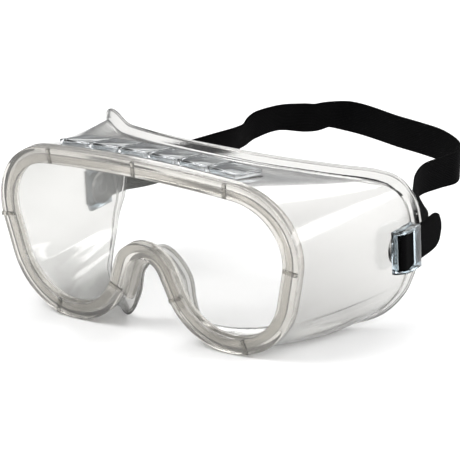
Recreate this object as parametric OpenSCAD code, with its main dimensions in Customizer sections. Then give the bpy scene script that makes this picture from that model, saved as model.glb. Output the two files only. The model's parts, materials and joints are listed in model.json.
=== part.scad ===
// Safety goggles: a soft clear mask with a rimmed lens, vented along the top, and an
// elastic head strap on two swivelling buckles.
// +X is the wearer's left, +Y runs back to the wearer's head, +Z is up.
// The origin is on the table that the goggles rest on, below the middle of the lens.

/* [Lens rim] */
// Half of the rim's width
rim_half_w = 78; // [76:0.5:80]
// Height of the rim's top edge above the lens centre
rim_top_z = 38.5; // [37.5:0.5:39.5]
// Radius of the shallow arc along the rim's top
top_arc_r = 440; // [380:10:520]
// Radius of the two upper corners
corner_r = 32; // [30:0.5:33]
// Radius of the two lower lobes
lobe_r = 32.5; // [31.5:0.5:33]
// Distance of each lobe's centre from the middle
lobe_x = 42; // [41:0.5:43]
// Height of each lobe's centre
lobe_z = -11; // [-12:0.5:-10]
// Radius of the nose arch
nose_r = 8.6; // [8:0.2:9.4]
// Height of the nose arch's centre
nose_z = -16; // [-17:0.5:-15]
// Width of the rim's front lip
lip_w = 7.4; // [6.8:0.2:8]
// Depth of the rim from front to back
rim_depth = 5.4; // [5:0.2:6]
// Radius of the lens and rim, curved about the upright axis
face_r = 700; // [500:50:900]
// Forward lean of the rim's top
lens_tilt = 8; // [7:0.5:9]

/* [Lens] */
// Thickness of the lens
lens_t = 1.9; // [1.5:0.1:1.9]
// Depth of the lens groove behind the rim's front face
groove_y = 1.6; // [1.4:0.1:1.8]
// Width of the rim outside the lens groove
groove_wall = 3.4; // [3:0.2:3.8]
// Width of each lens clip
clip_w = 1.8; // [1.4:0.1:2.4]

/* [Mask] */
// Wall thickness of the soft mask
wall_t = 1.6; // [1.2:0.1:2]
// Inset of the mask's wall from the rim's edge
wall_inset = 0.8; // [0.6:0.1:1.2]
// Thickness of the flange that lies on the face
seal_t = 1.4; // [1.2:0.1:1.8]
// Rise of the bent upper corner on the wearer's right
ear_lift = 5; // [0:0.5:6]

/* [Vents] */
// Number of vent caps
vent_count = 6; // [4:1:6]
// Distance from one vent cap to the next
vent_pitch = 15.4; // [15:0.1:16]
// Length of a vent cap from front to back
vent_len = 20; // [17:1:21]
// Height of a vent cap
vent_h = 2.7; // [2.4:0.1:3.2]

/* [Strap] */
// Width of the elastic strap
strap_w = 16; // [15:0.5:16]
// Thickness of the elastic strap
strap_t = 1; // [0.8:0.1:1]
// Upward turn of both buckles on their studs
buckle_turn = 4; // [2:1:6]
// Radius of the stud that each buckle turns on
stud_r = 2.5; // [2.2:0.1:2.8]

/* [Hidden] */

$fn = 96;
large_fn = 720;
rim_fine = 2;
fit_gap = 0.05;
lens_lift = 42.9;
pvc_tint = [0.86, 0.87, 0.85, 0.55];
rim_tint = [0.72, 0.7, 0.66, 0.8];
lens_tint = [0.85, 0.9, 0.9, 0.3];
buckle_tint = [0.6, 0.68, 0.72, 0.8];
strap_tint = [0.05, 0.05, 0.05];

// ---- Outline of the rim, in the lens plane ----

top_c_z = rim_top_z - top_arc_r;
corner_x = rim_half_w - corner_r;
corner_z = top_c_z + sqrt(pow(top_arc_r - corner_r, 2) - pow(corner_x, 2));
top_end = atan2(corner_z - top_c_z, corner_x);
corner_gap = norm([lobe_x - corner_x, lobe_z - corner_z]);
side_turn = atan2(lobe_z - corner_z, lobe_x - corner_x) + acos((corner_r - lobe_r) / corner_gap);
nose_gap = norm([lobe_x, nose_z - lobe_z]);
nose_turn = atan2(nose_z - lobe_z, -lobe_x) + acos((lobe_r + nose_r) / nose_gap);

function aim(a) = [cos(a), sin(a)];
// Half of the outline's corner points, d outside the rim's edge
function rim_corners(d) = [
    [0, top_c_z] + (top_arc_r + d) * aim(top_end),
    [corner_x, corner_z] + (corner_r + d) * aim(side_turn),
    [lobe_x, lobe_z] + (lobe_r + d) * aim(side_turn),
    [lobe_x, lobe_z] + (lobe_r + d) * aim(nose_turn),
    [0, nose_z] + (nose_r - d) * aim(nose_turn + 180)
];

// Steps along the top arc, corner, side, lobe, nose side and nose arch of half the outline
steps = [8, 12, 4, 22, 3, 5];

// Points of one stretch, each with its station number first
function arc_row(c, r, a0, a1, part, fine) = let(n = steps[part] * fine) [
    for (i = [0:n - 1]) concat([part + i / n], c + r * aim(a0 + (a1 - a0) * i / n))
];
function line_row(p, q, part, fine) = let(n = steps[part] * fine) [
    for (i = [0:n - 1]) concat([part + i / n], p + (q - p) * i / n)
];
// Half of the rim's outline, d outside the rim's edge, as rows of [station, x, z]
function half_outline(d, fine = 1) = let(c = rim_corners(d)) concat(
    arc_row([0, top_c_z], top_arc_r + d, 90, top_end, 0, fine),
    arc_row([corner_x, corner_z], corner_r + d, top_end, side_turn, 1, fine),
    line_row(c[1], c[2], 2, 1),
    arc_row([lobe_x, lobe_z], lobe_r + d, side_turn, nose_turn, 3, fine),
    line_row(c[3], c[4], 4, 1),
    arc_row([0, nose_z], nose_r - d, nose_turn + 180, 90, 5, fine),
    [[6, 0, nose_z + nose_r - d]]
);

module rim_outline(d) {
    half = [for (row = half_outline(d, rim_fine)) [row[1], row[2]]];
    polygon(concat(half, [for (i = [len(half) - 2:-1:1]) [-half[i][0], half[i][1]]]));
}

// ---- Helpers ----

// Puts the lens plane in its leaning place above the table
module in_lens_plane() {
    translate([0, 0, lens_lift]) rotate([lens_tilt, 0, 0]) children();
}

// Upright extrusion of a lens-plane outline, thick enough to be cut by lens_layer
slab_back = 30;
slab_depth = 40;
slab_half_h = 60;
over = 1;
module through_lens() {
    translate([0, slab_back, 0]) rotate([90, 0, 0]) linear_extrude(slab_depth) children();
}

// Layer of the curved face between two depths
module lens_layer(y0, y1) {
    intersection() {
        through_lens() children();
        difference() {
            translate([0, face_r + y0, -slab_half_h])
                cylinder(r = face_r, h = 2 * slab_half_h, $fn = large_fn);
            translate([0, face_r + y1, -slab_half_h - over])
                cylinder(r = face_r, h = 2 * (slab_half_h + over), $fn = large_fn);
        }
    }
}

function face_sag(x) = face_r - sqrt(face_r * face_r - x * x);
function tilt_point(p) = [
    p[0],
    p[1] * cos(lens_tilt) - p[2] * sin(lens_tilt),
    p[1] * sin(lens_tilt) + p[2] * cos(lens_tilt) + lens_lift
];

// Smooth curve through rows of [station, value, value, ...]
function row_slope(rows, i) = let(
        a = rows[max(i - 1, 0)],
        b = rows[min(i + 1, len(rows) - 1)]
    ) (b - a) / (b[0] - a[0]);
function find_row(rows, u, i = 0) =
    i >= len(rows) - 2 || rows[i + 1][0] > u ? i : find_row(rows, u, i + 1);
function smooth_row(rows, u) = let(
        i = find_row(rows, u),
        span = rows[i + 1][0] - rows[i][0],
        t = (u - rows[i][0]) / span,
        ease = t * t * (3 - 2 * t)
    ) rows[i] * (1 - ease) + rows[i + 1] * ease
        + row_slope(rows, i) * span * t * (1 - t) * (1 - t)
        - row_slope(rows, i + 1) * span * t * t * (1 - t);

// Closed solid from rings of points, each ring with the same number of points
function ring_faces(rings, count, closed) = [
    for (k = [0:rings - (closed ? 1 : 2)], i = [0:count - 1])
        let(
            a = k * count + i,
            b = k * count + (i + 1) % count,
            c = ((k + 1) % rings) * count + (i + 1) % count,
            d = ((k + 1) % rings) * count + i
        ) each [[a, b, c], [a, c, d]]
];

module ring_solid(rings, closed = false) {
    count = len(rings[0]);
    caps = closed ? [] : [
        [for (i = [count - 1:-1:0]) i],
        [for (i = [0:count - 1]) (len(rings) - 1) * count + i]
    ];
    polyhedron(
        points = [for (ring = rings) each ring],
        faces = concat(ring_faces(len(rings), count, closed), caps),
        convexity = 6
    );
}

// ---- Mask: from the back of the rim to the edge that fits the face ----

// Back edge of the wall: station, x, y, z above the lens centre, and how far the flange that
// fits the face runs outward and back from it
// The rows before the first and after the last are mirrored ones, so that the edge is smooth
back_edge = [
    [-0.5, -29, 55.5, 26.3, 4, 4.5], [0, 0, 52.5, 27, 4, 4.5], [0.5, 29, 55.5, 26.3, 4, 4.5],
    [1, 56, 64.5, 24.6, 4, 4.8], [1.25, 69, 72.5, 22.8, 4.2, 4.8], [1.5, 76.2, 79, 19, 4.2, 4.6],
    [1.75, 78.8, 86.2, 10.5, 1.6, 7], [2, 79.4, 89.6, -1, 0.8, 8], [3, 79.4, 89.4, -15.5, 0.8, 7],
    [3.1, 79.2, 86.5, -22.5, 1, 5.8], [3.22, 77, 82.4, -30.2, 1.6, 5], [3.36, 72, 74, -37, 2, 4],
    [3.5, 63.5, 61.8, -39.8, 2, 3.4], [3.65, 49, 46, -40.3, 1.8, 3],
    [3.78, 33, 29.5, -40.7, 1.4, 2.6], [3.87, 23, 21.5, -41, 0.4, 2.2],
    [3.94, 17, 18.5, -37, -1.4, 1.8], [4, 13, 17.8, -29.5, -3, 1.4], [5, 9.6, 17.2, -17, -4, 1.2],
    [6, 0, 16.4, -8.6, -4, 1.2], [7, -9.6, 17.2, -17, -4, 1.2]
];

front_half = half_outline(-wall_inset);
mask_steps = 8;
// Low ridge along the fold between the side wall and the bottom
fold_at = 3.14;
fold_w = 0.07;
fold_out = [0.7, 0, -0.4];
// Belly of the mask's lower corner
belly_at = 3.46;
belly_w = 0.38;
belly_out = [5, 0, -0.8];
// Bent upper corner
ear_at = 1.45;
ear_w = 0.5;

// A soft bump that is 1 at a station and 0 beyond a width of it
function bump(station, at, w) = pow(max(0, 1 - pow((station - at) / w, 2)), 2);
// Point of the mask's outer face: row of the outline, s from 0 at the rim to 1 at its back edge
function mask_point(row, s, ear) = let(
        front = tilt_point([row[1], rim_depth + face_sag(row[1]), row[2]]),
        edge = smooth_row(back_edge, row[0]),
        back = [edge[1], edge[2], edge[3] + lens_lift],
        fold = max(0, 1 - abs(row[0] - fold_at) / fold_w),
        belly = bump(row[0], belly_at, belly_w)
    ) front * (1 - s) + back * s + sin(180 * s) * (fold * fold_out + belly * belly_out)
        + [0, 0, s * s * ear * bump(row[0], ear_at, ear_w)];
// Both halves of a ring, from the top's middle round the wearer's left
function full_ring(s) = concat(
    [for (row = front_half) mask_point(row, s, 0)],
    [for (i = [len(front_half) - 2:-1:1])
        let(p = mask_point(front_half[i], s, ear_lift)) [-p[0], p[1], p[2]]]
);
// Outward direction across the wall at point i of a ring
function out_of(ring, i) = let(
        n = len(ring),
        along = ring[(i + 1) % n] - ring[(i + n - 1) % n],
        size = norm([along[0], along[2]])
    ) [-along[2] / size, 0, along[0] / size];
function inset_ring(ring, d) = [for (i = [0:len(ring) - 1]) ring[i] - d * out_of(ring, i)];

outer_rings = [for (k = [0:mask_steps]) full_ring(k / mask_steps)];
inner_rings = [for (k = [mask_steps:-1:0]) inset_ring(outer_rings[k], wall_t)];

// Flange beyond the wall's back edge, as [outward, back] at each point of the ring
flange_runs = let(
        half = [for (row = front_half) let(edge = smooth_row(back_edge, row[0])) [edge[4], edge[5]]]
    ) concat(half, [for (i = [len(half) - 2:-1:1]) half[i]]);
flange_root = 0.5;
flange_stops = [0.35, 0.7, 1];
// Cross-section of the flange: its two corners on the wall, then one face out and the other back
function flange_profile(run) = let(
        along = run / norm(run),
        inward = [-along[1], along[0]],
        shift = [0, seal_t * max(0, -inward[1])],
        outer = [for (t = flange_stops) t * run + [flange_root * (1 - t), 0] + shift]
    ) concat(
        [[flange_root, 0], [-wall_t, 0]],
        [for (p = outer) p + seal_t * inward],
        [for (j = [len(outer) - 1:-1:0]) outer[j]]
    );

// ---- Vents, on an arched tray that lies on the mask's top ----

vent_y = 4.5;
vent_z = 36.4;
vent_slope = 8;
vent_arch_r = 640;
tray_t = 1.4;
cap_gap = 1.1;
cap_wall = 0.9;
cap_seat = 0.1;
cap_front = 0.5;
tray_margin = 1;
tray_reach = 10;
slot_w = 9;
slot_len = 8;
slot_front = 5;
mask_slot_h = 6;
tray_slot_h = 3;
vent_half_w = vent_count * vent_pitch / 2;

module on_mask_top() {
    translate([0, vent_y, vent_z + lens_lift]) rotate([-vent_slope, 0, 0]) children();
}
function vent_x(i) = (i - (vent_count + 1) / 2) * vent_pitch;
function vent_drop(x) = vent_arch_r - sqrt(vent_arch_r * vent_arch_r - x * x);

// ---- Strap and buckles ----

temple_x = 80.6;
stud_y = 79.5;
stud_z = -7.5;
pad_r = 7.5;
pad_t = 1.6;
stud_len = 1.2;
cap_r = 3.6;
cap_t = 0.5;
buckle_len = 14.8;
buckle_h = 19.4;
buckle_out = 5.9;
buckle_front = -buckle_len / 2;
plate_gap = 0.1;
plate_t = 1;
side_t = 1.4;
side_w = buckle_h / 2 - side_t;
side_low = 1.9;
side_chamfer = [0.9, 3, 5.5];
rail_h = 2.3;
rail_t = 0.9;
tooth_count = 9;
tooth_h = 1;
tooth_d = 0.4;
cross_t = 1.5;
cross_v = 2.8;
bar_r = 0.8;
bar_v = -4.4;
bar_gap = 0.1;
strap_in = 1.9;
bar_u = strap_in + strap_t + bar_gap + bar_r;
tail_u = 3.2;
tail_v = 1.6;
tail_len = 23.5;
tail_round = 5;
band_start = 8;
band_end = 15;

// Buckle frame: x out of the temple, y back along the strap, z across it
module at_temple(side) {
    mirror([side < 0 ? 1 : 0, 0, 0])
        translate([temple_x, stud_y, stud_z + lens_lift]) rotate([buckle_turn, 0, 0]) children();
}
function from_temple(side, v) = [
    side * (temple_x + strap_in + strap_t / 2),
    stud_y + v * cos(buckle_turn),
    stud_z + v * sin(buckle_turn)
];

// Middle of the strap from the left buckle round to the right one: x, y, z above the lens
// centre, and the lean of its top edge towards the left of its run
strap_route = concat(
    [concat(from_temple(1, band_start), [0]), concat(from_temple(1, band_end), [0])],
    [
        [81.7, 99, -5.8, 0], [78.5, 104, -5.4, 0], [72.6, 110, -5, 0], [65, 118.5, -4.6, 0],
        [55.4, 130, -4, -3], [48.2, 142, -2.6, -8], [46.3, 152.5, -0.4, -12], [50, 163, 1, -12],
        [53, 171.5, 2.2, -6], [48, 180, 3.6, 2], [36, 186.5, 5.4, 7], [22, 191, 5.6, 9],
        [6, 194, 6, 9], [-10, 197.5, 6.8, 8], [-22, 198, 7.5, 12], [-32, 194, 7.8, 29],
        [-37, 191, 6.4, 24], [-42, 188, 6.1, 20], [-51, 181, 6.3, 28], [-57.5, 171, 4, 22],
        [-59.7, 165, 0.6, 24], [-61, 158.5, -0.9, 26], [-65, 147, -3, 14], [-69.5, 135, -4.5, 9],
        [-73, 122, -5.6, 4], [-76, 111, -6, 0], [-79.5, 103.5, -6.2, 0], [-81.8, 98.5, -6.2, 0]
    ],
    [concat(from_temple(-1, band_end), [0]), concat(from_temple(-1, band_start), [0])]
);
strap_rows = [for (i = [0:len(strap_route) - 1]) concat([i], strap_route[i])];
strap_substeps = 3;
look_ahead = 0.05;
strap_stops = [for (i = [0:(len(strap_rows) - 1) * strap_substeps]) i / strap_substeps];

function unit(v) = v / norm(v);
function strap_place(u) = let(r = smooth_row(strap_rows, u)) [r[1], r[2], r[3] + lens_lift];
function strap_ring(u) = let(
        last = len(strap_rows) - 1,
        p = strap_place(u),
        run = unit(
            strap_place(min(u + look_ahead, last)) - strap_place(max(u - look_ahead, 0))),
        lean = smooth_row(strap_rows, u)[4],
        aside = unit(cross([0, 0, 1], run)),
        up = cross(run, aside),
        w = strap_w / 2 * (up * cos(lean) + aside * sin(lean)),
        t = strap_t / 2 * (aside * cos(lean) - up * sin(lean))
    ) [p - w - t, p - w + t, p + w + t, p + w - t];

// ---- Parts ----

module lens() {
    color(lens_tint) in_lens_plane()
        lens_layer(groove_y + fit_gap, groove_y + fit_gap + lens_t) rim_outline(-groove_wall - fit_gap);
}

module lens_rim() {
    color(rim_tint) in_lens_plane() difference() {
        lens_layer(0, rim_depth) difference() {
            rim_outline(0);
            rim_outline(-lip_w);
        }
        lens_layer(groove_y, groove_y + 2 * fit_gap + lens_t) rim_outline(-groove_wall);
        clip_bars();
    }
}

// Places where the lens clips cross the rim: arc centre, arc radius and angle
clip_places = [
    [[0, top_c_z], top_arc_r, 90],
    [[0, top_c_z], top_arc_r, 84],
    [[corner_x, corner_z], corner_r, -9],
    [[lobe_x, lobe_z], lobe_r, -76],
    [[lobe_x, lobe_z], lobe_r, -156]
];
clip_proud = 0.35;
clip_deep = 1.1;
clip_short = 0.3;

module clip_bar(place) {
    mid = place[0] + (place[1] - lip_w / 2) * aim(place[2]);
    translate([mid[0], face_sag(mid[0]), mid[1]])
        rotate([0, -place[2], 0])
            translate([-lip_w / 2 + clip_short, -clip_proud, -clip_w / 2])
                cube([lip_w - 2 * clip_short, clip_proud + clip_deep, clip_w]);
}

module clip_bars() {
    clip_bar(clip_places[0]);
    for (i = [1:len(clip_places) - 1]) {
        clip_bar(clip_places[i]);
        mirror([1, 0, 0]) clip_bar(clip_places[i]);
    }
}

module lens_clips() {
    color(buckle_tint) in_lens_plane() clip_bars();
}

module face_mask() {
    color(pvc_tint) difference() {
        ring_solid(concat(outer_rings, inner_rings), closed = true);
        on_mask_top() vent_slots(mask_slot_h);
    }
}

module face_seal() {
    ring = outer_rings[mask_steps];
    count = len(flange_profile([1, 1]));
    color(pvc_tint) ring_solid([
        for (j = [0:count - 1]) [
            for (i = [0:len(ring) - 1])
                let(p = flange_profile(flange_runs[i])[j])
                    ring[i] + p[0] * out_of(ring, i) + [0, p[1], 0]
        ]
    ], closed = true);
}

// Soft lip that narrows the nose notch behind the rim
saddle_lip = 3.6;
saddle_t = 2.2;
saddle_half_w = 15;
saddle_low = -14;
saddle_high = 20;
module nose_saddle() {
    color(pvc_tint) in_lens_plane() lens_layer(rim_depth, rim_depth + saddle_t) intersection() {
        difference() {
            rim_outline(saddle_lip);
            rim_outline(-wall_inset + fit_gap);
        }
        translate([-saddle_half_w, nose_z + saddle_low])
            square([2 * saddle_half_w, saddle_high - saddle_low]);
    }
}

module vent_slots(h) {
    for (i = [1:vent_count])
        translate([vent_x(i) - slot_w / 2, slot_front, -h / 2 - vent_drop(vent_x(i))])
            cube([slot_w, slot_len, h]);
}

module vent_tray() {
    color(pvc_tint) on_mask_top() difference() {
        translate([0, vent_len + tray_margin, 0]) rotate([90, 0, 0])
            linear_extrude(vent_len + tray_margin) intersection() {
                translate([0, -vent_arch_r]) difference() {
                    circle(r = vent_arch_r + tray_t / 2, $fn = large_fn);
                    circle(r = vent_arch_r - tray_t / 2, $fn = large_fn);
                }
                translate([-vent_half_w, -tray_reach]) square([2 * vent_half_w, 2 * tray_reach]);
            }
        vent_slots(tray_slot_h);
    }
}

// Hood over one vent, open at the back
module vent_cap(i) {
    w = vent_pitch - cap_gap;
    x = vent_x(i);
    color(pvc_tint) on_mask_top()
        translate([x, cap_front, -vent_drop(x) + tray_t / 2])
            rotate([0, asin(x / vent_arch_r), 0]) difference() {
                translate([-w / 2, 0, cap_seat]) cube([w, vent_len, vent_h]);
                translate([-w / 2 + cap_wall, cap_wall, 0])
                    cube([w - 2 * cap_wall, vent_len, vent_h - cap_wall + cap_seat]);
            }
}

// Pad on the mask's temple with the stud that a buckle turns on
module strap_lug(side) {
    color(pvc_tint) at_temple(side) rotate([0, 90, 0]) {
        translate([0, 0, -pad_t]) cylinder(r = pad_r, h = pad_t);
        cylinder(r = stud_r, h = stud_len);
    }
}

module stud_cap(side) {
    color(buckle_tint) at_temple(side) rotate([0, 90, 0])
        translate([0, 0, stud_len]) cylinder(r = cap_r, h = cap_t);
}

module buckle_side() {
    linear_extrude(side_t) polygon([
        [plate_gap, buckle_front], [side_low, buckle_front],
        [buckle_out - side_chamfer[0], buckle_front + side_chamfer[1]],
        [buckle_out, buckle_front + side_chamfer[2]],
        [buckle_out, -buckle_front], [plate_gap, -buckle_front]
    ]);
}

module buckle(side) {
    tooth = 2 * side_w / tooth_count;
    color(buckle_tint) at_temple(side) difference() {
        union() {
            translate([plate_gap, buckle_front, -side_w]) cube([plate_t, buckle_len, 2 * side_w]);
            translate([0, 0, side_w]) buckle_side();
            translate([0, 0, -side_w - side_t]) buckle_side();
            translate([plate_gap, buckle_front, -side_w]) cube([rail_h, rail_t, 2 * side_w]);
            for (i = [0:tooth_count - 1])
                translate([
                    plate_gap + rail_h - tooth_h, buckle_front + rail_t, (i + 0.25) * tooth - side_w
                ])
                    cube([tooth_h, tooth_d, tooth / 2]);
            translate([buckle_out - cross_t, cross_v, -side_w])
                cube([cross_t, -buckle_front - cross_v, 2 * side_w]);
        }
        rotate([0, 90, 0]) translate([0, 0, -over])
            cylinder(r = stud_r + fit_gap, h = plate_gap + plate_t + 2 * over);
    }
}

module buckle_bar(side) {
    color(buckle_tint) at_temple(side)
        translate([bar_u, bar_v, -side_w]) cylinder(r = bar_r, h = 2 * side_w);
}

// Strap inside the buckle: folded round the bar, with a loose tail that ends round
module strap_end(side) {
    fold_r = bar_r + bar_gap;
    reach = 10;
    half = strap_w / 2;
    color(strap_tint) at_temple(side) intersection() {
        translate([0, 0, -half]) linear_extrude(strap_w) {
            translate([strap_in, bar_v]) square([strap_t, band_start - bar_v]);
            difference() {
                translate([bar_u, bar_v]) circle(r = fold_r + strap_t);
                translate([bar_u, bar_v]) circle(r = fold_r);
                translate([0, bar_v]) square([reach, reach]);
            }
            polygon([
                [bar_u + fold_r, bar_v], [bar_u + fold_r + strap_t, bar_v],
                [tail_u + strap_t, tail_v], [tail_u + strap_t, tail_len],
                [tail_u, tail_len], [tail_u, tail_v]
            ]);
        }
        rotate([0, 90, 0]) linear_extrude(reach) {
            translate([-half - over, -reach])
                square([strap_w + 2 * over, reach + tail_len - tail_round]);
            translate([-half + tail_round, 0]) square([strap_w - 2 * tail_round, tail_len]);
            for (w = [-1, 1])
                translate([w * (half - tail_round), tail_len - tail_round])
                    circle(r = tail_round);
        }
    }
}

module head_strap() {
    color(strap_tint) ring_solid([for (u = strap_stops) strap_ring(u)]);
}

lens();
lens_rim();
lens_clips();
face_mask();
face_seal();
nose_saddle();
vent_tray();
vent_cap(1);  // vent_cap_1
vent_cap(2);  // vent_cap_2
vent_cap(3);  // vent_cap_3
vent_cap(4);  // vent_cap_4
vent_cap(5);  // vent_cap_5
vent_cap(6);  // vent_cap_6
strap_lug(1);  // strap_lug_left
strap_lug(-1);  // strap_lug_right
stud_cap(1);  // stud_cap_left
stud_cap(-1);  // stud_cap_right
buckle(1);  // buckle_left
buckle(-1);  // buckle_right
buckle_bar(1);  // buckle_bar_left
buckle_bar(-1);  // buckle_bar_right
strap_end(1);  // strap_end_left
strap_end(-1);  // strap_end_right
head_strap();
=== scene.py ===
import json
import math

import bpy
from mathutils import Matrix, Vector

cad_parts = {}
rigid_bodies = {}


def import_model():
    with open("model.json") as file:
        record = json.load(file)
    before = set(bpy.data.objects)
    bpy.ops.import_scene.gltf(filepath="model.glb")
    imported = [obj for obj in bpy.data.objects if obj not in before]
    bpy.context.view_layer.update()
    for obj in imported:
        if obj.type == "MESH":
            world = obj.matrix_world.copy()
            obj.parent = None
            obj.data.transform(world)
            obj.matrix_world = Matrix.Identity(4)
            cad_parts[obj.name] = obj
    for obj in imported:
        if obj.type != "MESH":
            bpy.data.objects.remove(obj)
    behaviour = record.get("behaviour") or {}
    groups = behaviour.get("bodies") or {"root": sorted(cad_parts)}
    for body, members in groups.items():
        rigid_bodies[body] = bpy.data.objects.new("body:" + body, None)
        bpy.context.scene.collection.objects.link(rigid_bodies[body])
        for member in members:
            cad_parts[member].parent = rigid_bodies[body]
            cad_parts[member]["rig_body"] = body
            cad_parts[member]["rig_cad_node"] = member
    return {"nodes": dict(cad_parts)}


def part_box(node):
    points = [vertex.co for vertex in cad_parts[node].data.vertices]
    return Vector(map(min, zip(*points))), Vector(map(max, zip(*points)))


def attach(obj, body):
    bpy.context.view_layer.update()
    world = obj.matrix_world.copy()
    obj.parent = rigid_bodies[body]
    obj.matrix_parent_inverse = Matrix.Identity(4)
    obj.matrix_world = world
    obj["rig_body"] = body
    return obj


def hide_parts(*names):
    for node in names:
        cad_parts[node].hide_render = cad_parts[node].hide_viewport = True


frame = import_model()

bl_info = {
    "name": "Safety Goggles",
    "version": (1, 0, 0),
    "blender": (4, 5, 0),
    "location": "3D Viewport > Sidebar > Goggles",
    "description": "Moulds, finishes and lights a pair of mask goggles around their CAD parts",
    "category": "Object",
}

MM = 0.001
SAME_POINT = 1e-6
# How far below its highest point the top face of a vent hood may lie
TOP_TOLERANCE = 0.5 * MM
BODY = "goggles"
STRAP_BODY = "strap"
SIDES = ("left", "right")

PLASTIC_IOR = 1.47
LENS_IOR = 1.58
BUMP_DEPTH = 0.3 * MM
HAZE = 0.4
# Patterns of the clear mouldings: noise cells per metre, and the height of the fine pits
FLOW_SCALE, PIT_SCALE, CLOUD_SCALE = 45.0, 2200.0, 28.0
PIT_HEIGHT = 0.05
# Tint and extra roughness of the cloudy patches
CLOUDED = 0.93
CLOUD_ROUGHNESS = 0.12
# Painted reflection bands slanting across the lens: slant, stretch along and across, darkening and
# cover
REFLECTION_BAND_SLANT = math.radians(28)
REFLECTION_BAND_STRETCH = (5, 5, 42)
REFLECTION_BAND_TINT = 0.9
REFLECTION_BAND_COVER = 0.05
# Weave of the elastic, in millimetres: length of a pick and width of the bound edge
PICK = 0.8
BOUND_EDGE = 1.6
WEAVE_DEPTH = 0.25 * MM
# Painted highlight on the ribs and painted shade in the gaps between them: lightness against the
# webbing's colour
RIB_HIGHLIGHT, GAP_SHADE = 2.6, 0.5

# Lamps: name, place, width, height and watts. All look at the middle of the goggles
LAMPS = (
    ("key", (-0.5, -0.7, 1.0), 0.8, 0.8, 9),
    ("side", (1.1, 0.35, 0.55), 0.35, 1.2, 8),
    ("back", (-0.3, 1.2, 0.8), 1.2, 0.6, 8),
    ("band", (0.9, 1.1, 0.22), 1.0, 0.36, 5),
)
LAMP_TARGET = (0, 0.06, 0.04)
# Width of the camera's sensor in mm
SENSOR = 36

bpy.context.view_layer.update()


# ---- Sizes and colours that a user may change ----

def length(label, text, default, **more):
    """A length in metres, shown in millimetres."""
    return bpy.props.FloatProperty(
        name=label, description=text, default=default, unit="LENGTH", subtype="DISTANCE", **more)


def colour(label, text, default):
    """A linear colour."""
    return bpy.props.FloatVectorProperty(
        name=label, description=text, default=default, size=3, min=0.0, max=1.0, subtype="COLOR")


def share(label, text, default):
    """A share from 0 to 1."""
    return bpy.props.FloatProperty(
        name=label, description=text, default=default, min=0.0, max=1.0, subtype="FACTOR")


class RimSizes(bpy.types.PropertyGroup):
    """The rim that holds the lens"""
    half_width: length("Half width", "Half of the rim's width", 78 * MM)
    top: length("Top", "Height of the rim's top edge above the lens centre", 38.5 * MM)
    top_radius: length("Top radius", "Radius of the shallow arc along the top", 440 * MM)
    corner_radius: length("Corner radius", "Radius of the two upper corners", 32 * MM)
    lobe_radius: length("Lobe radius", "Radius of the two lower lobes", 32.5 * MM)
    lobe_side: length("Lobe side", "Distance of each lobe's centre from the middle", 42 * MM)
    lobe_drop: length("Lobe drop", "Depth of each lobe's centre below the lens centre", 11 * MM)
    nose_radius: length("Nose radius", "Radius of the nose arch", 8.6 * MM)
    nose_drop: length("Nose drop", "Depth of the nose arch's centre below the lens centre", 16 * MM)
    lip: length("Lip", "Width of the rim's front lip", 7.4 * MM)
    depth: length("Depth", "Depth of the rim from front to back", 5.4 * MM)
    groove_front: length("Groove front", "Depth of the lens groove behind the front", 1.6 * MM)
    groove: length("Groove", "Width of the lens groove", 2.0 * MM)
    groove_wall: length("Groove wall", "Width of the rim outside the lens groove", 3.4 * MM)
    face_radius: length("Face radius", "Radius of lens and rim about the upright axis", 700 * MM)
    centre: length("Lens centre", "Height of the lens centre above the table", 42.9 * MM)
    lean: bpy.props.FloatProperty(
        name="Lean", description="Forward lean of the rim's top",
        default=math.radians(8), subtype="ANGLE", unit="ROTATION")
    outer_round: length("Outer edge", "Radius of the rim's outer front edge", 1.3 * MM)
    inner_round: length("Inner edge", "Radius of the rim's inner front edge", 0.6 * MM)
    back_round: length("Back edges", "Radius of the rim's two back edges", 0.5 * MM)
    groove_round: length("Groove edges", "Radius of the lens groove's edges", 0.15 * MM)


class MaskSizes(bpy.types.PropertyGroup):
    """The soft mask behind the rim and its flange"""
    wall: length("Wall", "Thickness of the mask's wall", 1.6 * MM)
    inset: length("Inset", "Inset of the wall from the rim's edge", 0.8 * MM)
    flange: length("Flange", "Thickness of the flange that fits the face", 1.4 * MM)
    bead: length("Bead", "Radius of the bead along the flange's edge", 0.95 * MM)
    root: length("Root", "How far the flange's root stands out of the wall", 0.5 * MM)
    fold: length("Fold", "Height of the ridge between side and bottom", 0.9 * MM)
    belly: length("Belly", "Swelling of the lower corners", 5 * MM)
    ear: length("Ear", "Rise of the bent upper corner on the wearer's right", 5 * MM)
    fine: bpy.props.IntProperty(
        name="Fineness", description="Faces along each arc of the mask", default=3, min=1, max=6)
    deep: bpy.props.IntProperty(
        name="Rows", description="Faces from the front to the back of the mask",
        default=36, min=8, max=80)
    slot_width: length("Slot width", "Width of the slot under each vent hood", 9 * MM)
    slot_length: length("Slot length", "Length of the slot under each vent hood", 8 * MM)
    slot_back: length("Slot back", "Distance of the slots' front behind the hoods' front", 4.5 * MM)
    slot_height: length("Slot height", "Height of the boxes that cut the slots", 12 * MM)


class EdgeSizes(bpy.types.PropertyGroup):
    """How far moulded edges are rounded"""
    clip: length("Clips", "Rounding of the lens clips", 0.22 * MM)
    vent: length("Vents", "Rounding of the vent hoods", 0.3 * MM)
    panel: length("Vent panel", "Inset of the sunk panel on each vent hood", 1.5 * MM)
    panel_drop: length("Panel depth", "Depth of the sunk panel on each vent hood", 0.35 * MM)
    buckle: length("Buckles", "Rounding of the buckles", 0.28 * MM)
    stud: length("Studs", "Rounding of the studs and bars", 0.12 * MM)


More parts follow.
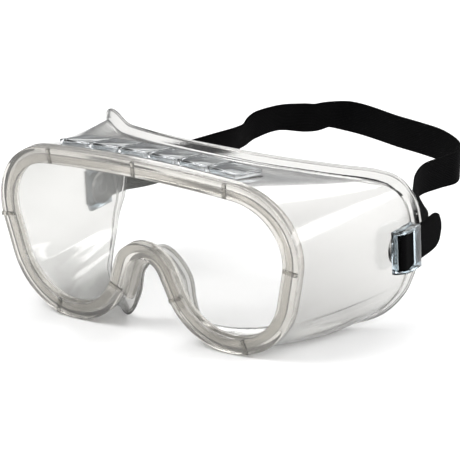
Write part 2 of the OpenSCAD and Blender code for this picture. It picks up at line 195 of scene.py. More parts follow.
class WebbingSizes(bpy.types.PropertyGroup):
    """The woven elastic strap"""
    temple: length("Temple", "Distance of the temple's outer face from the middle", 80.6 * MM)
    stud_y: length("Stud back", "Distance of the studs behind the lens", 79.5 * MM)
    stud_z: length("Stud height", "Height of the studs above the table", 35.4 * MM)
    lens_centre: length("Lens centre", "Height of the lens centre above the table", 42.9 * MM)
    turn: bpy.props.FloatProperty(
        name="Buckle turn", description="Upward turn of both buckles",
        default=math.radians(4), subtype="ANGLE", unit="ROTATION")
    bar_out: length("Bar out", "Distance of the bar from the temple", 3.8 * MM)
    bar_along: length("Bar back", "Distance of the bar behind the stud", -4.4 * MM)
    fold: length("Fold", "Radius of the webbing's middle round the bar", 1.4 * MM)
    corner: length("Corner", "Radius of the loose ends' corners", 6.5 * MM)
    width: length("Width", "Width of the elastic webbing", 16 * MM)
    thick: length("Thickness", "Thickness of the elastic webbing", 1.0 * MM)
    rib: length("Rib", "Distance from one woven rib to the next", 0.9 * MM)
    lead: length("Lead", "Distance of the webbing's way out of the buckle behind the stud", 3 * MM)
    step: length("Step", "Distance between the rows of the webbing's mesh", 1.6 * MM)
    across: bpy.props.IntProperty(
        name="Across", description="Faces across the webbing", default=12, min=4, max=32)


class Finishes(bpy.types.PropertyGroup):
    """Colours of the finishes"""
    mask: colour("Mask", "Soft clear moulded PVC", (0.66, 0.655, 0.64))
    # The edge colours of mask, rim, vents and buckle are painted shade: each clear plastic is
    # painted towards its edge colour where its faces are seen at a grazing angle.
    mask_grazing_shade: colour("Mask edge", "Clear PVC seen along its wall", (0.36, 0.37, 0.37))
    rim: colour("Rim", "Translucent grey rim", (0.74, 0.72, 0.68))
    rim_grazing_shade: colour("Rim edge", "Rim seen along its wall", (0.16, 0.17, 0.16))
    vent: colour("Vents", "Clear vent hoods", (0.7, 0.72, 0.73))
    vent_grazing_shade: colour("Vent edge", "Vent hoods seen along their wall", (0.07, 0.09, 0.1))
    clip: colour("Clips", "Lens clips", (0.75, 0.74, 0.71))
    lens: colour("Lens", "Clear polished lens", (0.62, 0.63, 0.59))
    lens_cover: share("Lens cover", "How much the lens hides, seen square on", 0.035)
    buckle: colour("Buckle", "Clear blue-grey buckle", (0.62, 0.72, 0.78))
    buckle_grazing_shade: colour("Buckle edge", "Buckle seen along its wall", (0.2, 0.3, 0.36))
    webbing: colour("Webbing", "Black elastic", (0.0012, 0.0012, 0.0013))


class StageSettings(bpy.types.PropertyGroup):
    """Camera, floor and light"""
    turn: bpy.props.FloatProperty(
        name="Turn", description="Camera's turn towards the wearer's left",
        default=math.radians(36.37), subtype="ANGLE", unit="ROTATION")
    rise: bpy.props.FloatProperty(
        name="Rise", description="Camera's rise above the level",
        default=math.radians(17.72), subtype="ANGLE", unit="ROTATION")
    distance: length("Distance", "From the lens centre to the camera", 1.5)
    aim_right: length("Aim right", "How far right of the lens centre the camera looks", 38.4 * MM)
    aim_up: length("Aim up", "How far above the lens centre the camera looks", 6.1 * MM)
    focal: bpy.props.FloatProperty(
        name="Focal length", description="Lens of the camera on a 36 mm sensor", default=277.0,
        unit="CAMERA", subtype="DISTANCE_CAMERA")
    floor: length("Floor", "Width of the pale floor", 6.0)
    floor_dark: colour("Floor dark", "Darker grain of the floor", (0.93, 0.93, 0.93))
    floor_light: colour("Floor light", "Lighter grain of the floor", (0.95, 0.95, 0.95))
    room_low: colour("Room low", "The room below the level", (0.22, 0.23, 0.24))
    room_high: colour("Room high", "The room overhead", (1.0, 1.0, 1.0))
    room_light: share("Room light", "Strength of the room's light", 0.9)


# ---- Selecting, copying and finishing ----

def deselect_all():
    """Nothing is selected or active, so an operator acts only on what comes next."""
    if bpy.context.object and bpy.context.object.mode != "OBJECT":
        bpy.ops.object.mode_set(mode="OBJECT")
    bpy.ops.object.select_all(action="DESELECT")
    bpy.context.view_layer.objects.active = None


def select_only(piece):
    """The piece alone is selected and active."""
    deselect_all()
    piece.select_set(True)
    bpy.context.view_layer.objects.active = piece


def edit(piece, *steps):
    """Runs edit-mode steps on the whole mesh of a piece."""
    select_only(piece)
    bpy.ops.object.mode_set(mode="EDIT")
    bpy.ops.mesh.select_mode(type="VERT")
    bpy.ops.mesh.select_all(action="SELECT")
    for step in steps:
        step()
    bpy.ops.object.mode_set(mode="OBJECT")


def merge_doubles():
    """Joins the loose triangles of a packed node."""
    bpy.ops.mesh.remove_doubles(threshold=SAME_POINT)


def flat_faces():
    """Makes flat faces of a packed node's triangles."""
    bpy.ops.mesh.dissolve_limited(angle_limit=math.radians(0.6))


def outward():
    """Turns every face outwards."""
    bpy.ops.mesh.normals_make_consistent(inside=False)


def copy_of(node, name):
    """A copy of a packed node, merged, to be worked on in its place."""
    select_only(frame["nodes"][node])
    bpy.ops.object.duplicate()
    piece = bpy.context.object
    piece.name = name
    bpy.ops.object.parent_clear(type="CLEAR_KEEP_TRANSFORM")
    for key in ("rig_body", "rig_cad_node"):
        if key in piece:
            del piece[key]
    edit(piece, merge_doubles)
    return piece


def shaped_grid(name, columns, rows, place):
    """A grid of faces with the vertex in column i and row j at place(i, j), seams closed."""
    deselect_all()
    bpy.ops.mesh.primitive_grid_add(x_subdivisions=columns, y_subdivisions=rows, size=1)
    piece = bpy.context.object
    piece.name = name
    for vertex in piece.data.vertices:
        i, j = round((vertex.co.x + 0.5) * columns), round((vertex.co.y + 0.5) * rows)
        vertex.co = place(i, j)
    edit(piece, merge_doubles)
    return piece


def apply_modifiers(piece):
    """Applies all modifiers of a piece in order."""
    select_only(piece)
    for modifier in list(piece.modifiers):
        bpy.ops.object.modifier_apply(modifier=modifier.name)


def round_edges(piece, width, segments=2, angle=40):
    """Rounds the sharp edges of a piece."""
    bevel = piece.modifiers.new("Rounded edges", "BEVEL")
    bevel.width = width
    bevel.segments = segments
    bevel.limit_method = "ANGLE"
    bevel.angle_limit = math.radians(angle)
    bevel.use_clamp_overlap = True
    bevel.harden_normals = False
    apply_modifiers(piece)


def shade(piece, angle=35):
    """Smooth shading that keeps edges sharper than an angle."""
    select_only(piece)
    bpy.ops.object.shade_smooth_by_angle(angle=math.radians(angle))


def dress(piece, material):
    """Gives a piece one material."""
    piece.data.materials.clear()
    piece.data.materials.append(material)


def finish(piece, body, node, slot_name, material, *more_nodes):
    """Puts a finished piece on its body in place of its packed node or nodes."""
    dress(piece, material)
    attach(piece, body)
    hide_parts(node, *more_nodes)


def vent_caps():
    """The packed vent hoods in order."""
    return sorted(name for name in frame["nodes"] if name.startswith("vent_cap_"))


# ---- Outline of the rim ----

def aim(angle):
    """Unit direction in the lens plane."""
    return Vector((math.cos(angle), math.sin(angle)))


def rim_arcs(sizes):
    """One side's arcs: station, steps, centre, radius, start, end, and 1 where out is outward."""
    top = Vector((0, sizes.top - sizes.top_radius))
    corner_x = sizes.half_width - sizes.corner_radius
    rise = math.sqrt((sizes.top_radius - sizes.corner_radius) ** 2 - corner_x ** 2)
    corner = Vector((corner_x, top.y + rise))
    lobe = Vector((sizes.lobe_side, -sizes.lobe_drop))
    nose = Vector((0, -sizes.nose_drop))
    top_end = math.atan2(rise, corner_x)
    reach = lobe - corner
    side = math.atan2(reach.y, reach.x) + math.acos(
        (sizes.corner_radius - sizes.lobe_radius) / reach.length)
    inward = nose - lobe
    nose_turn = math.atan2(inward.y, inward.x) + math.acos(
        (sizes.lobe_radius + sizes.nose_radius) / inward.length)
    nose_turn -= math.tau * (nose_turn > side)
    return (
        (0, 8, top, sizes.top_radius, math.pi / 2, top_end, 1),
        (1, 12, corner, sizes.corner_radius, top_end, side, 1),
        (3, 24, lobe, sizes.lobe_radius, side, nose_turn, 1),
        (5, 6, nose, sizes.nose_radius, nose_turn + math.pi, math.pi / 2, -1),
    )


def half_outline(sizes, inset, fine):
    """One side of the rim's outline, set in from its edge: rows of station and point."""
    rows = []
    for station, steps, centre, radius, start, end, way in rim_arcs(sizes):
        size, count = radius - way * inset, steps * fine
        first = centre + size * aim(start)
        if rows and rows[-1][0] < station:
            last = rows[-1][1]
            straight = 4 * fine
            rows += [
                (station - 1 + i / straight, last.lerp(first, i / straight))
                for i in range(1, straight)]
        if not rows or rows[-1][0] < station:
            rows.append((station, first))
        rows += [
            (station + i / count, centre + size * aim(start + (end - start) * i / count))
            for i in range(1, count + 1)]
    return rows


def rim_outline(sizes):
    """The rim's outer edge in the lens plane, once round from the top's middle."""
    half = [point for _, point in half_outline(sizes, 0, 2)]
    return half + [Vector((-p.x, p.y)) for p in reversed(half[1:-1])]


def on_lens_face(sizes, x, z, depth):
    """The place of a lens-plane point on the leaning, curved face."""
    sag = sizes.face_radius - math.sqrt(sizes.face_radius ** 2 - x * x)
    y = depth + sag
    return Vector((
        x,
        y * math.cos(sizes.lean) - z * math.sin(sizes.lean),
        y * math.sin(sizes.lean) + z * math.cos(sizes.lean) + sizes.centre,
    ))


def rounded(corners, count=4):
    """A closed profile with each corner (x, y, radius) rounded by a small curve."""
    points = []
    for i, (x, y, radius) in enumerate(corners):
        here = Vector((x, y))
        before = (Vector(corners[i - 1][:2]) - here).normalized()
        after = (Vector(corners[(i + 1) % len(corners)][:2]) - here).normalized()
        for k in range(count + 1):
            t = k / count
            points.append(here + radius * ((1 - t) ** 2 * before + t * t * after))
    return points


# ---- Path of the webbing ----

# Middle of the webbing from the left buckle to the right one, in mm: x, y, height above the
# lens centre, and the lean of its top edge in degrees
STRAP_ROUTE = (
    (83, 87.5, -6.9, 0), (83, 94.5, -6.5, 0), (81.7, 99, -5.8, 0), (78.5, 104, -5.4, 0),
    (72.6, 110, -5, 0), (65, 118.5, -4.6, 0), (55.4, 130, -4, -3), (48.2, 142, -2.6, -8),
    (46.3, 152.5, -0.4, -12), (50, 163, 1, -12), (53, 171.5, 2.2, -6), (48, 180, 3.6, 2),
    (36, 186.5, 5.4, 7), (22, 191, 5.6, 9), (6, 194, 6, 9), (-10, 197.5, 6.8, 8),
    (-22, 198, 7.5, 12), (-32, 194, 7.8, 29), (-37, 191, 6.4, 24), (-42, 188, 6.1, 20),
    (-51, 181, 6.3, 28), (-57.5, 171, 4, 22), (-59.7, 165, 0.6, 24), (-61, 158.5, -0.9, 26),
    (-65, 147, -3, 14), (-69.5, 135, -4.5, 9), (-73, 122, -5.6, 4), (-76, 111, -6, 0),
    (-79.5, 103.5, -6.2, 0), (-81.8, 98.5, -6.2, 0), (-83, 94.5, -6.5, 0), (-83, 87.5, -6.9, 0),
)

# Each loose end of the webbing behind its buckle, in mm, from its tip to the bar: out from the
# temple, back from the stud, and rise
LOOSE_END = ((4.6, 25.5, 3.2), (4.5, 21, 2.4), (4.2, 16, 1.5), (3.8, 11, 0.8), (3.7, 6, 0.3))
FOLD_STEPS = 8
# Rows between two route points, and how far ahead the run's direction is taken
ROUTE_STEPS = 3
LOOK_AHEAD = 0.05


def smooth_row(rows, u):
    """A smooth curve through rows of (station, value, ...), at a station."""
    i = 0
    while i < len(rows) - 2 and rows[i + 1][0] <= u:
        i += 1
    span = rows[i + 1][0] - rows[i][0]
    t = (u - rows[i][0]) / span

    def slope(k, column):
        before, after = rows[max(k - 1, 0)], rows[min(k + 1, len(rows) - 1)]
        return (after[column] - before[column]) / (after[0] - before[0]) * span

    ease = t * t * (3 - 2 * t)
    return [
        rows[i][c] * (1 - ease) + rows[i + 1][c] * ease
        + slope(i, c) * t * (1 - t) ** 2 - slope(i + 1, c) * t * t * (1 - t)
        for c in range(1, len(rows[0]))]


def dense(path, parts=4):
    """A path of (point, across) with extra points on a smooth curve between them."""
    points = [p for p, _ in path]
    made = []
    for i in range(len(path) - 1):
        a, b = points[i], points[i + 1]
        span = (b - a).length
        start = (b - points[max(i - 1, 0)]).normalized() * span
        end = (points[min(i + 2, len(points) - 1)] - a).normalized() * span
        for k in range(parts):
            t = k / parts
            here = ((2 * t ** 3 - 3 * t * t + 1) * a + (t ** 3 - 2 * t * t + t) * start
                    + (3 * t * t - 2 * t ** 3) * b + (t ** 3 - t * t) * end)
            made.append((here, path[i][1].lerp(path[i + 1][1], t)))
    return made + [path[-1]]


# ---- Shape of the mask ----

# Back edge of the wall, in mm: station, x, y, height above the lens centre, and how far the
# flange runs outward and back from it. The first and last rows only keep the curve smooth
BACK_EDGE = (
    (-0.5, -29, 55.5, 26.3, 4, 4.5), (0, 0, 52.5, 27, 4, 4.5), (0.5, 29, 55.5, 26.3, 4, 4.5),
    (1, 56, 64.5, 24.6, 4, 4.8), (1.25, 69, 72.5, 22.8, 4.2, 4.8), (1.5, 76.2, 79, 19, 4.2, 4.6),
    (1.75, 78.8, 86.2, 10.5, 1.6, 7), (2, 79.4, 89.6, -1, 0.8, 8), (3, 79.4, 89.4, -15.5, 0.8, 7),
    (3.1, 79.2, 86.5, -22.5, 1, 5.8), (3.22, 77, 82.4, -30.2, 1.6, 5), (3.36, 72, 74, -37, 2, 4),
    (3.5, 63.5, 61.8, -39.8, 2, 3.4), (3.65, 49, 46, -40.3, 1.8, 3),
    (3.78, 33, 29.5, -40.7, 1.4, 2.6), (3.87, 23, 21.5, -41, 0.4, 2.2),
    (3.94, 17, 18.5, -37, -1.4, 1.8), (4, 13, 17.8, -29.5, -3, 1.4), (5, 9.6, 17.2, -17, -4, 1.2),
    (6, 0, 16.4, -8.6, -4, 1.2), (7, -9.6, 17.2, -17, -4, 1.2),
)
FLANGE_STOPS = (0.2, 0.4, 0.6, 0.8)
BEAD_TURNS = [math.radians(turn) for turn in (120, 90, 60, 30, 0, -30, -60, -90, -120)]
# Stations of the ridge, the belly and the bent corner, and how far each reaches
FOLD_AT, FOLD_WIDTH = 3.14, 0.07
BELLY_AT, BELLY_WIDTH = 3.46, 0.38
EAR_AT, EAR_WIDTH = 1.45, 0.5
# The ridge and the belly push outward and a little down
FOLD_OUT = Vector((1, 0, -0.55))
BELLY_OUT = Vector((1, 0, -0.16))


def soft_bump(station, at, width):
    """A bump that is 1 at a station and 0 beyond a width of it."""
    return max(0.0, 1 - ((station - at) / width) ** 2) ** 2


class MaskShape:
    """Works out the mask's outer face and flange round a ring of columns."""

    def __init__(self, rim, mask):
        self.rim, self.mask = rim, mask
        half = half_outline(rim, mask.inset, mask.fine)
        self.columns = [(row, 1) for row in half] + [(row, -1) for row in reversed(half[1:-1])]

    def point(self, i, s):
        """The outer face in column i, with s from 0 at the rim to 1 at the wall's back edge."""
        (station, place), side = self.columns[i % len(self.columns)]
        mask = self.mask
        front = on_lens_face(self.rim, place.x, place.y, self.rim.depth)
        edge = smooth_row(BACK_EDGE, station)
        back = Vector(edge[:3]) * MM + Vector((0, 0, self.rim.centre))
        fold = mask.fold * max(0.0, 1 - abs(station - FOLD_AT) / FOLD_WIDTH)
        belly = mask.belly * soft_bump(station, BELLY_AT, BELLY_WIDTH)
        point = front.lerp(back, s) + math.sin(math.pi * s) * (fold * FOLD_OUT + belly * BELLY_OUT)
        if side < 0:
            point.x = -point.x
            point.z += s * s * mask.ear * soft_bump(station, EAR_AT, EAR_WIDTH)
        return point

    def outward(self, i):
        """Outward direction across the wall's back edge in column i."""
        along = self.point(i + 1, 1) - self.point(i - 1, 1)
        return Vector((-along.z, 0, along.x)).normalized()

    def flange(self, i):
        """The flange's closed cross-section in column i."""
        (station, _), _ = self.columns[i % len(self.columns)]
        mask = self.mask
        run = Vector(smooth_row(BACK_EDGE, station)[3:5]) * MM
        along = run.normalized()
        inward = Vector((-along.y, along.x))
        shift = Vector((0, mask.flange * max(0.0, -inward.y)))
        outer = [t * run + Vector((mask.root * (1 - t), 0)) + shift for t in FLANGE_STOPS]
        tip = run + shift + mask.flange / 2 * inward - mask.bead * along
        bead = [
            tip + mask.bead * (math.sin(turn) * inward + math.cos(turn) * along)
            for turn in BEAD_TURNS]
        section = [Vector((mask.root, 0)), Vector((-mask.wall, 0))]
        section += [p + mask.flange * inward for p in outer] + bead + outer[::-1]
        base, out = self.point(i, 1), self.outward(i)
        return [base + p.x * out + Vector((0, p.y, 0)) for p in section]


# ---- Materials ----

def new_group(name, inputs, outputs):
    """An empty shader group with named sockets: (kind, name, default) in, (kind, name) out."""
    group = bpy.data.node_groups.new(name, "ShaderNodeTree")
    for kind, label, default in inputs:
        made = group.interface.new_socket(label, in_out="INPUT", socket_type="NodeSocket" + kind)
        made.default_value = default
    for kind, label in outputs:
        group.interface.new_socket(label, in_out="OUTPUT", socket_type="NodeSocket" + kind)
    return group, group.nodes.new("NodeGroupInput"), group.nodes.new("NodeGroupOutput")


def noise(tree, coordinates, scale, detail=3.0):
    """A noise texture on coordinates."""
    made = tree.nodes.new("ShaderNodeTexNoise")
    made.inputs["Scale"].default_value = scale
    made.inputs["Detail"].default_value = detail
    tree.links.new(coordinates, made.inputs["Vector"])
    return made


def ramp(tree, value, low, high, to_low=0.0, to_high=1.0):
    """A value mapped from one range to another."""
    made = tree.nodes.new("ShaderNodeMapRange")
    made.inputs["From Min"].default_value = low
    made.inputs["From Max"].default_value = high
    made.inputs["To Min"].default_value = to_low
    made.inputs["To Max"].default_value = to_high
    tree.links.new(value, made.inputs["Value"])
    return made.outputs["Result"]


def mixed(tree, factor, first, second):
    """A mix of two colours: sockets or constant colours."""
    made = tree.nodes.new("ShaderNodeMix")
    made.data_type = "RGBA"
    tree.links.new(factor, made.inputs["Factor"])
    for socket, value in ((made.inputs["A"], first), (made.inputs["B"], second)):
        if isinstance(value, bpy.types.NodeSocket):
            tree.links.new(value, socket)
        else:
            socket.default_value = value
    return made.outputs["Result"]


def calculated(tree, operation, first, second):
    """A sum, product or other operation on two values."""
    made = tree.nodes.new("ShaderNodeMath")
    made.operation = operation
    for socket, value in zip(made.inputs, (first, second)):
        if isinstance(value, bpy.types.NodeSocket):
            tree.links.new(value, socket)
        else:
            socket.default_value = value
    return made.outputs["Value"]


def moulded_group():
    """Slow flow waves, fine pits and haze of a moulded clear plastic."""
    group, entry, out = new_group(
        "Moulded plastic",
        [("Float", "Flow", 1.0), ("Float", "Haze", 0.5)],
        [("Float", "Height"), ("Float", "Haze mask")])
    place = group.nodes.new("ShaderNodeTexCoord").outputs["Object"]
    flow = noise(group, place, FLOW_SCALE, 1.0).outputs["Fac"]
    pits = noise(group, place, PIT_SCALE, 1.0).outputs["Fac"]
    slow = calculated(group, "MULTIPLY", flow, entry.outputs["Flow"])
    fine = calculated(group, "MULTIPLY", pits, PIT_HEIGHT)
    group.links.new(calculated(group, "ADD", slow, fine), out.inputs["Height"])
    cloud = noise(group, place, CLOUD_SCALE, 4.0).outputs["Fac"]
    haze = calculated(group, "MULTIPLY", ramp(group, cloud, 0.4, 0.72), entry.outputs["Haze"])
    group.links.new(haze, out.inputs["Haze mask"])


def webbing_group():
    """Ribs along the run and picks across it, from the webbing's own UV map in millimetres."""
    group, entry, out = new_group(
        "Elastic webbing",
        [("Float", "Rib", 0.9), ("Float", "Width", 16.0)],
        [("Float", "Height"), ("Float", "Rib mask"), ("Float", "Edge mask")])
    uv = group.nodes.new("ShaderNodeUVMap")
    uv.uv_map = "Webbing"
    split = group.nodes.new("ShaderNodeSeparateXYZ")
    group.links.new(uv.outputs["UV"], split.inputs["Vector"])
    across, along = split.outputs["X"], split.outputs["Y"]
    turns = calculated(group, "DIVIDE", across, entry.outputs["Rib"])
    column = calculated(group, "FLOOR", turns, 0.0)
    rib = calculated(group, "ABSOLUTE", calculated(
        group, "SINE", calculated(group, "MULTIPLY", turns, math.pi), 0.0), 0.0)
    stagger = calculated(group, "MULTIPLY", column, 0.5)
    picks = calculated(group, "ADD", calculated(group, "DIVIDE", along, PICK), stagger)
    pick = calculated(group, "ABSOLUTE", calculated(
        group, "SINE", calculated(group, "MULTIPLY", picks, math.pi), 0.0), 0.0)
    fuzz = noise(group, uv.outputs["UV"], 3.0, 5.0).outputs["Fac"]
    weave = calculated(group, "MULTIPLY", rib, calculated(
        group, "ADD", calculated(group, "MULTIPLY", pick, 0.45), 0.55))
    height = calculated(group, "ADD", weave, calculated(group, "MULTIPLY", fuzz, 0.25))
    group.links.new(height, out.inputs["Height"])
    group.links.new(weave, out.inputs["Rib mask"])
    half = calculated(group, "DIVIDE", entry.outputs["Width"], 2.0)
    off = calculated(group, "ABSOLUTE", calculated(group, "SUBTRACT", across, half), 0.0)
    edge = ramp(group, calculated(group, "SUBTRACT", half, off), 0.0, BOUND_EDGE, 1.0, 0.0)
    group.links.new(edge, out.inputs["Edge mask"])


def new_material(name):
    """A new material, its node tree and its Principled shader."""
    material = bpy.data.materials.new(name)
    material.use_nodes = True
    tree = material.node_tree
    return material, tree, tree.nodes["Principled BSDF"]


def bump(tree, shader, height, distance):
    """A bump of a height on a shader."""
    made = tree.nodes.new("ShaderNodeBump")
    made.inputs["Strength"].default_value = 1.0
    made.inputs["Distance"].default_value = distance
    tree.links.new(height, made.inputs["Height"])
    tree.links.new(made.outputs["Normal"], shader.inputs["Normal"])


def opaque(rgb):
    """A colour with full alpha."""
    return (*rgb, 1.0)


def clear_solid(name, tint, edge, flow, roughness, clear=1.0):
    """A thick clear moulding that bends light, hazy in places, and painted darker where its faces
    are seen at a grazing angle (painted shade).
    """
    _, tree, shader = new_material(name)
    group = tree.nodes.new("ShaderNodeGroup")
    group.node_tree = bpy.data.node_groups["Moulded plastic"]
    group.inputs["Flow"].default_value = flow
    group.inputs["Haze"].default_value = HAZE
    # Painted shade: the colour goes over to the edge colour where the face is seen at a grazing
    # angle, in place of the dark edges that clear plastic shows in the light.
    facing = tree.nodes.new("ShaderNodeLayerWeight")
    facing.inputs["Blend"].default_value = 0.5
    grazing_shade = ramp(tree, facing.outputs["Facing"], 0.6, 1.0)
    darker = mixed(tree, grazing_shade, opaque(tint), opaque(edge))
    cloudy = opaque([c * CLOUDED for c in tint])
    tree.links.new(
        mixed(tree, group.outputs["Haze mask"], darker, cloudy), shader.inputs["Base Color"])
    rough = ramp(
        tree, group.outputs["Haze mask"], 0.0, 1.0, roughness, roughness + CLOUD_ROUGHNESS)
    tree.links.new(rough, shader.inputs["Roughness"])
    shader.inputs["IOR"].default_value = PLASTIC_IOR
    shader.inputs["Transmission Weight"].default_value = clear
    bump(tree, shader, group.outputs["Height"], BUMP_DEPTH)


def lens_material(name, tint, edge, cover):
    """Clear polished polycarbonate with a faint veil and long slanting bands of painted reflection.
    """
    _, tree, shader = new_material(name)
    group = tree.nodes.new("ShaderNodeGroup")
    group.node_tree = bpy.data.node_groups["Moulded plastic"]
    group.inputs["Flow"].default_value = 0.05
    group.inputs["Haze"].default_value = 0.1
    slant = tree.nodes.new("ShaderNodeMapping")
    slant.inputs["Rotation"].default_value = (0, REFLECTION_BAND_SLANT, 0)
    slant.inputs["Scale"].default_value = REFLECTION_BAND_STRETCH
    tree.links.new(
        tree.nodes.new("ShaderNodeTexCoord").outputs["Object"], slant.inputs["Vector"])
    # Painted reflection: long slanting bands, a little greyer and more opaque, fixed on the lens.
    reflection_bands = ramp(tree, noise(tree, slant.outputs["Vector"], 1.0, 1.5).outputs["Fac"], 0.42, 0.62)
    tree.links.new(
        mixed(tree, reflection_bands, opaque(tint), opaque([c * REFLECTION_BAND_TINT for c in tint])),
        shader.inputs["Base Color"])
    # Painted shade: the grey lens is drawn more opaque where its faces are seen at a grazing angle.
    facing = tree.nodes.new("ShaderNodeLayerWeight")
    facing.inputs["Blend"].default_value = 0.5
    grazing_shade = ramp(tree, facing.outputs["Facing"], 0.75, 1.0, cover, 0.35)
    veil = calculated(tree, "MULTIPLY", reflection_bands, REFLECTION_BAND_COVER)
    tree.links.new(calculated(tree, "ADD", grazing_shade, veil), shader.inputs["Alpha"])
    tree.links.new(
        ramp(tree, group.outputs["Haze mask"], 0.0, 1.0, 0.02, 0.12), shader.inputs["Roughness"])
    shader.inputs["IOR"].default_value = LENS_IOR
    bump(tree, shader, group.outputs["Height"], BUMP_DEPTH)


def webbing_material(name, rgb, sizes):
    """Black ribbed elastic with painted highlight on its ribs, painted shade between them, and a
    bound edge.
    """
    _, tree, shader = new_material(name)
    group = tree.nodes.new("ShaderNodeGroup")
    group.node_tree = bpy.data.node_groups["Elastic webbing"]
    group.inputs["Rib"].default_value = sizes.rib / MM
    group.inputs["Width"].default_value = sizes.width / MM
    # Painted highlight and shade: the raised ribs are lighter and the gaps between them darker.
    rib_highlight = opaque([c * RIB_HIGHLIGHT for c in rgb])
    ribs = mixed(tree, group.outputs["Rib mask"], opaque([c * GAP_SHADE for c in rgb]), rib_highlight)
    tree.links.new(
        mixed(tree, group.outputs["Edge mask"], ribs, opaque(rgb)), shader.inputs["Base Color"])
    tree.links.new(
        ramp(tree, group.outputs["Rib mask"], 0.0, 1.0, 0.95, 0.78), shader.inputs["Roughness"])
    shader.inputs["Specular IOR Level"].default_value = 0.03
    shader.inputs["Sheen Weight"].default_value = 0.004
    shader.inputs["Sheen Roughness"].default_value = 0.5
    bump(tree, shader, group.outputs["Height"], WEAVE_DEPTH)


def the_material(name):
    """A material made by the finishes operator."""
    if name not in bpy.data.materials:
        raise RuntimeError(f"the finish {name} hasn't been made")
    return bpy.data.materials[name]


# ---- Operators ----

class GOGGLES_OT_finishes(bpy.types.Operator):
    """Make the finishes of the clear plastics and of the webbing"""
    bl_idname = "goggles.finishes"
    bl_label = "Finishes"

    def execute(self, context):
        look = context.scene.goggles_finishes
        moulded_group()
        webbing_group()
        clear_solid("Soft clear PVC", look.mask, look.mask_grazing_shade, flow=0.25, roughness=0.1)
        clear_solid("Lip PVC", look.mask, look.mask_grazing_shade, flow=0.3, roughness=0.04)
        clear_solid(
            "Grey rim PVC", look.rim, look.rim_grazing_shade, flow=0.35, roughness=0.06, clear=0.9)
        clear_solid("Vent PVC", look.vent, look.vent_grazing_shade, flow=0.4, roughness=0.02)
        clear_solid("Clip plastic", look.clip, look.rim_grazing_shade, flow=0.2, roughness=0.03)
        clear_solid("Buckle plastic", look.buckle, look.buckle_grazing_shade, flow=0.2, roughness=0.03)
        lens_material("Polished lens", look.lens, look.rim_grazing_shade, look.lens_cover)
        webbing_material("Black elastic", look.webbing, context.scene.goggles_webbing)
        return {"FINISHED"}


class GOGGLES_OT_lens(bpy.types.Operator):
    """Finish the lens as clear polished plastic"""
    bl_idname = "goggles.lens"
    bl_label = "Lens"

    def execute(self, context):
        dress(frame["nodes"]["lens"], the_material("Polished lens"))
        return {"FINISHED"}


class GOGGLES_OT_rim(bpy.types.Operator):
    """Sweep the rim's rounded, grooved profile along its outline and bend it to the face"""
    bl_idname = "goggles.rim"
    bl_label = "Rim"

    def profile(self, sizes):
        """The rim's cross-section: x in from the outer edge, y forward from the front."""
        lip, wall, back = sizes.lip, sizes.groove_wall, -sizes.depth
        front, rear = -sizes.groove_front, -(sizes.groove_front + sizes.groove)
        soft = sizes.groove_round
        return rounded([
            (0, 0, sizes.outer_round), (0, back, sizes.back_round), (lip, back, sizes.back_round),
            (lip, rear, soft), (wall, rear, soft), (wall, front, soft), (lip, front, soft),
            (lip, 0, sizes.inner_round),
        ])

    def closed_curve(self, name, points):
        """A flat closed curve through points, made from a primitive."""
        deselect_all()
        bpy.ops.curve.primitive_bezier_circle_add(enter_editmode=False)
        made = bpy.context.object
        made.name = name
        made.data.splines.clear()
        spline = made.data.splines.new("POLY")
        spline.points.add(len(points) - 1)
        for target, point in zip(spline.points, points):
            target.co = (point.x, point.y, 0, 1)
        spline.use_cyclic_u = True
        made.data.dimensions = "2D"
        made.data.fill_mode = "NONE"
        return made

    def execute(self, context):
        sizes = context.scene.goggles_rim
        section = self.closed_curve("rim_section", self.profile(sizes))
        rim = self.closed_curve("rim", rim_outline(sizes))
        rim.data.bevel_mode = "OBJECT"
        rim.data.bevel_object = section
        select_only(rim)
        bpy.ops.object.convert(target="MESH")
        rim = context.object
        bpy.data.objects.remove(section)
        for vertex in rim.data.vertices:
            x, z, forward = vertex.co
            vertex.co = on_lens_face(sizes, x, z, -forward)
        edit(rim, merge_doubles, outward)
        shade(rim, 50)
        finish(rim, BODY, "lens_rim", "rim_pvc", the_material("Grey rim PVC"))
        return {"FINISHED"}


class GOGGLES_OT_clips(bpy.types.Operator):
    """Round the lens clips that cross the rim"""
    bl_idname = "goggles.clips"
    bl_label = "Lens clips"

    def execute(self, context):
        clips = copy_of("lens_clips", "clips")
        edit(clips, flat_faces)
        round_edges(clips, context.scene.goggles_edges.clip)
        shade(clips)
        finish(clips, BODY, "lens_clips", "rim_pvc", the_material("Clip plastic"))
        return {"FINISHED"}


